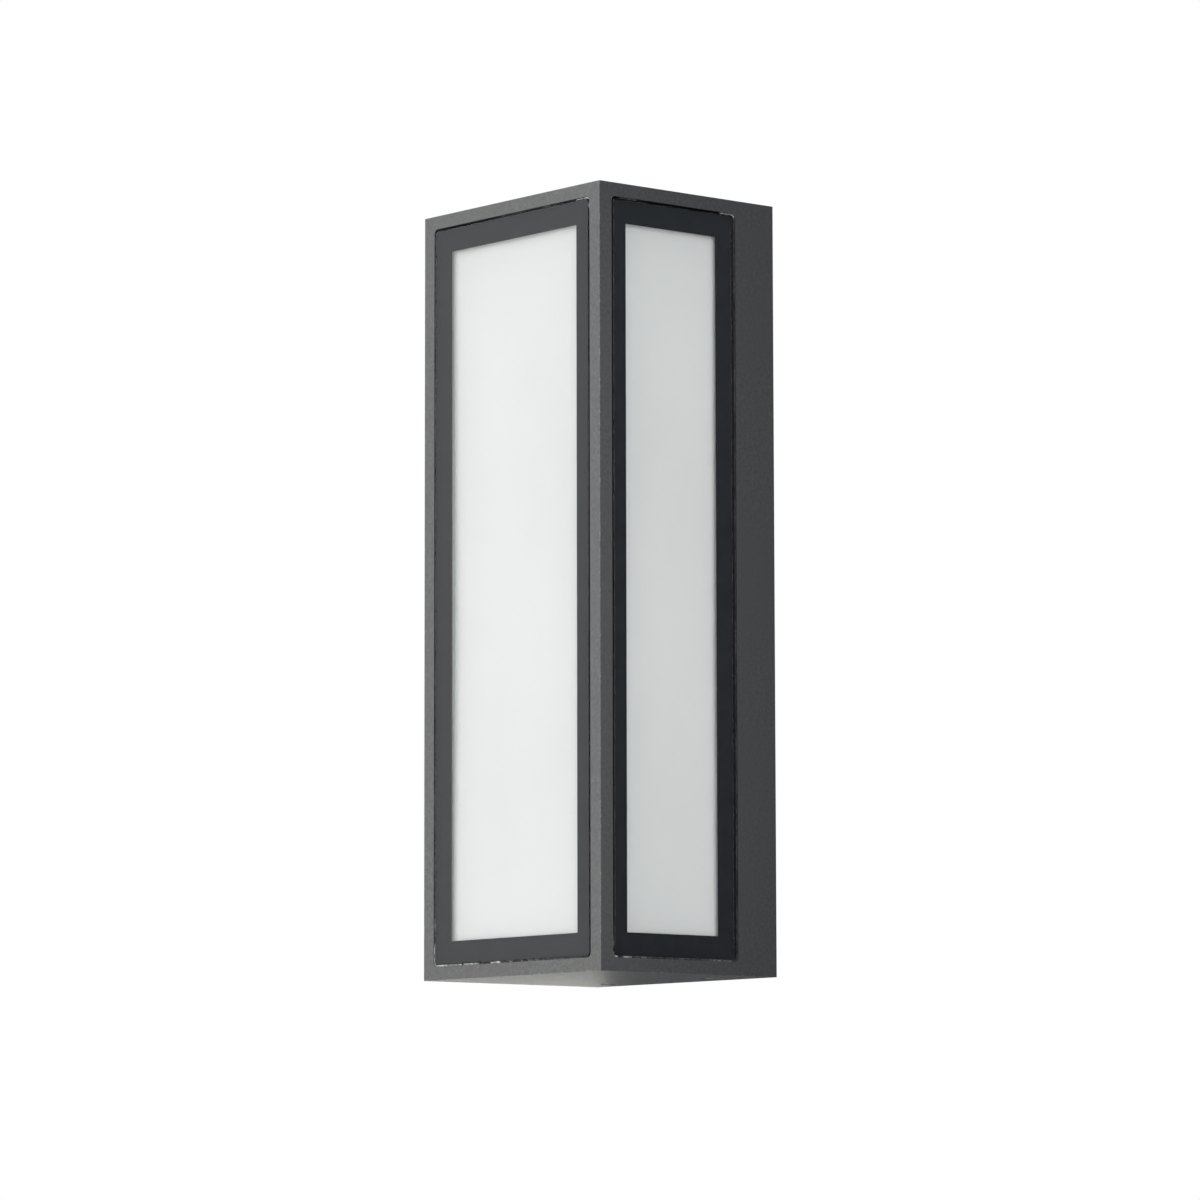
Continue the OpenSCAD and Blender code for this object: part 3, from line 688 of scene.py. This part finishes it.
def enamel_border(window, seed):
    """The print on the pane's back: a flat frame that stops just short of the ground edge."""
    beside, above, shift = BORDERS[window.side]
    short, corner, step = 0.1 * MM, 1 * MM, 4 * MM
    overlap, thickness = 0.02 * MM, 0.1 * MM
    unevenness, wave = 0.04 * MM, 3 * MM
    width, height = window.pane_width - 2 * short, window.pane_height - 2 * short
    outer = rounded_path(width, height, corner, step)
    verts = []
    for at, _ in outer:
        ragged = unevenness * noise.noise(Vector((at.x, at.y, seed)) / wave)
        inner = held_within(at, window.width / 2 - beside, window.height / 2 - above)
        inner += Vector((shift + math.copysign(ragged, at.x), math.copysign(ragged, at.y)))
        for depth in (window.pane_back - overlap, window.pane_back + thickness):
            verts.append(window.point(at.x + window.shift, at.y, depth))
            verts.append(window.point(inner.x, inner.y, depth))
    add_piece(
        f"{window.side}_enamel_border", verts, border_faces(0, len(outer)), "front_housing",
        ENAMEL, [f"{window.side}_glass_print"], smooth=False,
    )


class Sheet:
    """An opal sheet behind a window, which bows back by about bow with waves on top."""

    def __init__(self, window, bow, waves, seed):
        self.window, self.bow, self.waves, self.seed = window, bow, waves, seed
        self.node = f"{window.side}_diffuser"
        self.width, self.height = window.size(self.node)
        self.front = window.depth(self.node, nearest=True)
        self.back = window.depth(self.node, nearest=False)

    def moved(self, u, v):
        """How far the sheet has moved back at (u, v). It stays put at its top and bottom."""
        wave_width, wave_height, lean = 50 * MM, 90 * MM, 0.3
        free = math.cos(math.pi * v / self.window.height) ** 2
        wave = noise.noise(Vector((u / wave_width, v / wave_height, self.seed)))
        return free * (self.bow * (1 - lean * (u / self.window.width)) + self.waves * wave)


def opal_sheet(sheet):
    """The sheet itself, bowed, with soft cut edges."""
    columns, rows = 24, 72
    verts = []
    for depth in (sheet.front, sheet.back):
        for j in range(rows + 1):
            for i in range(columns + 1):
                u, v = (i / columns - 0.5) * sheet.width, (j / rows - 0.5) * sheet.height
                verts.append(sheet.window.point(u, v, depth + sheet.moved(u, v)))
    layer = (columns + 1) * (rows + 1)
    faces = grid_faces(columns, rows)
    faces += turned_over([tuple(layer + k for k in face) for face in faces])

    def index(i, j):
        return j * (columns + 1) + i

    rim = [index(i, 0) for i in range(columns)]
    rim += [index(columns, j) for j in range(rows)]
    rim += [index(columns - i, rows) for i in range(columns)]
    rim += [index(0, rows - j) for j in range(rows)]
    for a, b in zip(rim, rim[1:] + rim[:1]):
        faces.append((a, layer + a, layer + b, b))
    ob = add_piece(
        f"{sheet.window.side}_opal_sheet", verts, faces, "front_housing",
        OPAL, [sheet.node],
    )
    round_edges(ob, 0.25 * MM, segments=2, angle=50)


# How far each window's foam reaches in from the opening's sides, and from its top and bottom
TAPE_EDGES = {
    "front": (8.2 * MM, 7.4 * MM),
    "left": (7.2 * MM, 7.4 * MM),
    "right": (7.2 * MM, 7.4 * MM),
}


def foam_tapes(sheets):
    """The foam between the flanges and the sheets, which swells to follow each sheet's bow."""
    flange_t, corner, step = 1 * MM, 1 * MM, 2 * MM
    unevenness, wave = 0.12 * MM, 1.7 * MM
    verts, faces = [], []
    for sheet in sheets:
        window = sheet.window
        front = window.depth(f"{window.side}_glass_seal", nearest=False) + flange_t
        outer = rounded_path(sheet.width, sheet.height, corner, step)
        beside, above = TAPE_EDGES[window.side]
        faces += border_faces(len(verts), len(outer))
        for at, _ in outer:
            inner = held_within(at, window.width / 2 - beside, window.height / 2 - above)
            crumble = unevenness * noise.noise(Vector((at.x, at.y, sheet.seed)) / wave)
            inner += Vector((math.copysign(crumble, inner.x), math.copysign(crumble, inner.y)))
            verts += [window.point(*uv, front) for uv in (at, inner)]
            verts += [window.point(*uv, sheet.front + sheet.moved(*uv)) for uv in (at, inner)]
    add_piece(
        "foam_tapes", verts, faces, "front_housing", TAPE, ["diffuser_tapes"],
        smooth=False,
    )


WINDOWS = {side: Window(side) for side in ("front", "left", "right")}
# For each lump: its place, its length and its height. Places run round each pane from its lower
# right corner: up the right side, along the top to the left, down the left side and back along
# the bottom
LUMPS = {
    "front": [
        (0.3765, 0.004, 0.7), (0.384, 0.008, 0.85), (0.422, 0.047, 0.32), (0.858, 0.003, 0.5),
        (0.872, 0.004, 0.8), (0.878, 0.004, 0.8), (0.895, 0.029, 0.65), (0.9275, 0.005, 1.0),
        (0.965, 0.040, 0.34),
    ],
    "right": [
        (0.4185, 0.007, 0.65), (0.487, 0.013, 0.34), (0.907, 0.005, 0.6), (0.9145, 0.003, 0.7),
        (0.924, 0.005, 0.6), (0.9355, 0.002, 0.5), (0.955, 0.017, 0.3), (0.989, 0.014, 0.42),
    ],
    "left": [
        (0.07, 0.006, 0.5), (0.43, 0.012, 0.4), (0.47, 0.006, 0.7), (0.58, 0.005, 0.4),
        (0.92, 0.012, 0.5), (0.96, 0.008, 0.6), (0.985, 0.010, 0.4),
    ],
}
# How deep the bead's trough is at the right, the top, the left and the bottom of each pane
TROUGHS = {
    "front": (2.0 * MM, 0.9 * MM, 0.5 * MM, 0.7 * MM),
    "right": (0.7 * MM, 1.1 * MM, 2.6 * MM, 0.7 * MM),
    "left": (2.6 * MM, 1.0 * MM, 0.7 * MM, 0.7 * MM),
}
# How far each sheet bows back, and how high its waves are
BOWS = {
    "front": (0.5 * MM, 0.1 * MM),
    "left": (0.3 * MM, 0.1 * MM),
    "right": (0.2 * MM, 0.1 * MM),
}
sheets = []
for number, (side, window) in enumerate(WINDOWS.items()):
    glass_pane(window)
    bead(window, LUMPS[side], TROUGHS[side], seed=3.7 * number)
    enamel_border(window, seed=5.1 * number)
    sheets.append(Sheet(window, *BOWS[side], seed=1.0 + number))
    opal_sheet(sheets[-1])
foam_tapes(sheets)


def screw_cap():
    """The lamp's cap: a thin sleeve rolled into a round screw thread."""
    pitch, depth, sheet = 3.62 * MM, 1.1 * MM, 0.35 * MM
    plain_foot, plain_top = 0.5 * MM, 5 * MM
    inner_foot, inner_top = 0.3 * MM, 0.4 * MM
    turns, cuts = 96, 96
    low, high = (Vector(corner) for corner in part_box("lamp_cap"))
    centre = Vector(((low.x + high.x) / 2, (low.y + high.y) / 2, low.z))
    radius, height = (high.x - low.x) / 2, high.z - low.z
    levels = [height * i / cuts for i in range(cuts + 1)]
    verts = []
    for i in range(turns):
        around = Vector((math.cos(TAU * i / turns), math.sin(TAU * i / turns), 0))
        for z in levels:
            room = min(z - plain_foot, height - plain_top - z)
            fade = max(0.0, min(1.0, room / pitch))
            groove = 0.5 - 0.5 * math.cos(TAU * (z / pitch - i / turns))
            threaded = radius - depth * (groove * fade + 1 - fade)
            verts.append(centre + threaded * around + Vector((0, 0, z)))
        for z in reversed(levels):
            z = max(inner_foot, min(z, height - inner_top))
            verts.append(centre + (radius - depth - sheet) * around + Vector((0, 0, z)))
    faces = turned_over(loop_faces(turns, 2 * len(levels), closed_path=True))
    add_piece("lamp_screw_cap", verts, faces, "lamp", NICKEL, ["lamp_cap"])


screw_cap()


def wire(name, route, node, material):
    """A round insulated wire along the CAD lead's route, given in millimetres."""
    radius, sides, cuts = 1.2 * MM, 20, 6
    cut_end = 0.82
    aside = Vector((0.9, 0.2, 0.1))
    points = [Vector(p) * MM for p in route]
    last = len(points) - 1
    smooth = []
    for i in range(last):
        a, b, c, d = (points[max(0, min(last, i + k))] for k in (-1, 0, 1, 2))
        for j in range(cuts):
            t = j / cuts
            smooth.append(
                b + t * (c - a) / 2 + t * t * (a - 2.5 * b + 2 * c - d / 2)
                + t ** 3 * (-a + 3 * b - 3 * c + d) / 2
            )
    smooth.append(points[-1])
    last = len(smooth) - 1
    verts, turn = [], []
    for i, at in enumerate(smooth):
        forward = (smooth[min(i + 1, last)] - smooth[max(i - 1, 0)]).normalized()
        across = forward.cross(aside).normalized()
        up = across.cross(forward)
        thick = radius * (cut_end if i in (0, last) else 1)
        for k in range(sides):
            angle = TAU * k / sides
            verts.append(at + thick * (math.cos(angle) * across + math.sin(angle) * up))
            turn.append(k / (sides - 1))
    faces = loop_faces(len(smooth), sides)
    faces.append(tuple(reversed(range(sides))))
    faces.append(tuple(last * sides + k for k in range(sides)))
    ob = add_piece(name, verts, faces, "wall_plate", material, [node])
    keep_values(ob, "round", turn)


LIVE_ROUTE = [
    (12, -11, -96), (12, -11, -90), (12, -11, -84), (11.2, -12, -78.5), (9.8, -16, -75),
    (8.4, -22, -74), (7.3, -29, -74), (7, -35, -73), (7, -39, -70), (7, -40.8, -66),
    (7, -41, -60), (7, -41, -52),
]
NEUTRAL_ROUTE = [
    (0, -11, -96), (0, -11, -90), (0, -11, -84), (-1.4, -12, -78.5), (-3.8, -16, -75),
    (-5.8, -22, -74), (-6.8, -29, -74), (-7, -35, -73), (-7, -39, -70), (-7, -40.8, -66),
    (-7, -41, -60), (-7, -41, -52),
]
EARTH_ROUTE = [
    (24, -11, -96), (24, -11, -91), (24.4, -11, -86), (26.4, -10.4, -82), (29.6, -9, -79),
    (32.4, -7.4, -76), (33.8, -6.5, -73), (34, -6.4, -70), (34, -6.4, -67.6),
]
wire("live_wire", LIVE_ROUTE, "lead_live", BROWN)
wire("neutral_wire", NEUTRAL_ROUTE, "lead_neutral", BLUE)
wire("earth_wire", EARTH_ROUTE, "lead_earth", GREEN)


# Floor, light and camera ----------------------------------------------------------------------

def pale_floor():
    """A plain pale floor, far enough down to stay below the main view."""
    size, drop, cuts = 4.0, 1.3, 24
    verts = [
        ((i / cuts - 0.5) * size, (j / cuts - 0.5) * size, LOW.z - drop)
        for j in range(cuts + 1) for i in range(cuts + 1)
    ]
    mesh = bpy.data.meshes.new("floor")
    mesh.from_pydata(verts, [], grid_faces(cuts, cuts))
    mesh.update()
    floor = bpy.data.objects.new("floor", mesh)
    bpy.context.collection.objects.link(floor)
    look = Shader("floor")
    look.surface(base_color=look.mix(look.noise(0.4), grey(0.78), grey(0.82)), roughness=0.7)
    floor.data.materials.append(look.mat)


# Directions from the lantern into the room
UP = (0, 0, 1)
BEHIND_RIGHT = (0.62, 0.78, 0.0)
BRIGHT_GAP = (0.75, 0.65, 0.11)
FRONT_RIGHT = (0.97, -0.2, 0.1)
FRONT_LEFT = (-0.75, -0.65, 0.05)
BEHIND_LEFT = (-0.76, 0.64, -0.11)


def studio_light():
    """A white backdrop for the camera. The light itself is soft: a little brighter from above,
    brightest from the front right, and dim behind, where the side and the underside look."""
    world = bpy.data.worlds.new("studio")
    world.use_nodes = True
    bpy.context.scene.world = world
    look = Nodes(world.node_tree)
    direction = look.node("ShaderNodeTexCoord").outputs["Generated"]

    def facing(towards):
        """1 towards a direction, 0 at right angles to it."""
        unit = tuple(Vector(towards).normalized())
        return look.node(
            "ShaderNodeVectorMath", {0: direction, 1: unit}, operation="DOT_PRODUCT"
        ).outputs["Value"]

    def times(a, b):
        return look.maths("MULTIPLY", a, b)

    height = look.between(facing(UP), -0.5, 0.7, 0.9, 1.31)
    rising = look.between(facing(UP), -0.35, 0.5, 0.0, 0.44)
    gap = look.between(facing(BRIGHT_GAP), 0.955, 0.994, 0.08, 1.0)
    dark = look.between(facing(BEHIND_RIGHT), 0.28, 0.8, 0.0, 1.0)
    room = look.node("ShaderNodeMix", {"Factor": dark, 2: height, 3: times(rising, gap)}).outputs[0]
    front_right = look.between(facing(FRONT_RIGHT), 0.6, 0.97, 0.94, 2.15)
    front_left = look.between(facing(FRONT_LEFT), 0.85, 0.985, 1.0, 1.1)
    behind_left = look.between(facing(BEHIND_LEFT), 0.5, 0.9, 1.0, 0.0)
    power = times(times(room, front_right), times(behind_left, front_left))
    warmth = look.between(facing(UP), -0.6, 0.4, 0.0, 1.0)
    tint = look.mix(warmth, (1.03, 1.0, 0.93, 1), (0.97, 1.0, 1.04, 1))
    tint = look.mix(dark, tint, (0.9, 1.01, 1.16, 1))
    lit = look.node("ShaderNodeBackground", {"Color": tint, "Strength": power})
    plain = look.node("ShaderNodeBackground", {"Color": (1, 1, 1, 1), "Strength": 1.0})
    seen = look.node("ShaderNodeLightPath").outputs["Is Camera Ray"]
    both = look.node("ShaderNodeMixShader", {0: seen, 1: lit.outputs[0], 2: plain.outputs[0]})
    out = look.node("ShaderNodeOutputWorld")
    look.link(both.outputs[0], out.inputs["Surface"])


def light_card(name, place, towards, size, energy, colour=(1, 1, 1)):
    """A soft rectangular light that shines towards a direction and that the camera does not
    see. size is (width, height) in metres."""
    data = bpy.data.lights.new(name, "AREA")
    data.shape = "RECTANGLE"
    data.size, data.size_y = size
    data.energy = energy
    data.color = colour
    made = bpy.data.objects.new(name, data)
    made.location = place
    made.rotation_euler = Vector(towards).to_track_quat("-Z", "Y").to_euler()
    made.visible_camera = False
    bpy.context.collection.objects.link(made)


def camera():
    """A long lens, right of the front and a little below, looking slightly up."""
    data = bpy.data.cameras.new("camera")
    data.sensor_width = 36
    data.lens = 170.64
    data.clip_end = 20
    made = bpy.data.objects.new("camera", data)
    made.location = (1.6848, -1.4557, -0.2525)
    made.rotation_euler = [math.radians(turn) for turn in (96.484, 0.114, 50.039)]
    bpy.context.collection.objects.link(made)
    bpy.context.scene.camera = made


pale_floor()
studio_light()
# One card beside the lantern's right side, and one low at its back left for its underside
light_card("side_card", (0.25, 0.015, 0.01), (-1, 0, 0), (0.13, 0.34), 0.074)
light_card(
    "low_card", (-0.25, 0.09, -0.178), (0.752, -0.65, 0.113), (0.12, 0.08), 0.042,
    colour=(1.0, 0.98, 0.92),
)
camera()
bpy.context.scene.view_settings.view_transform = "Standard"
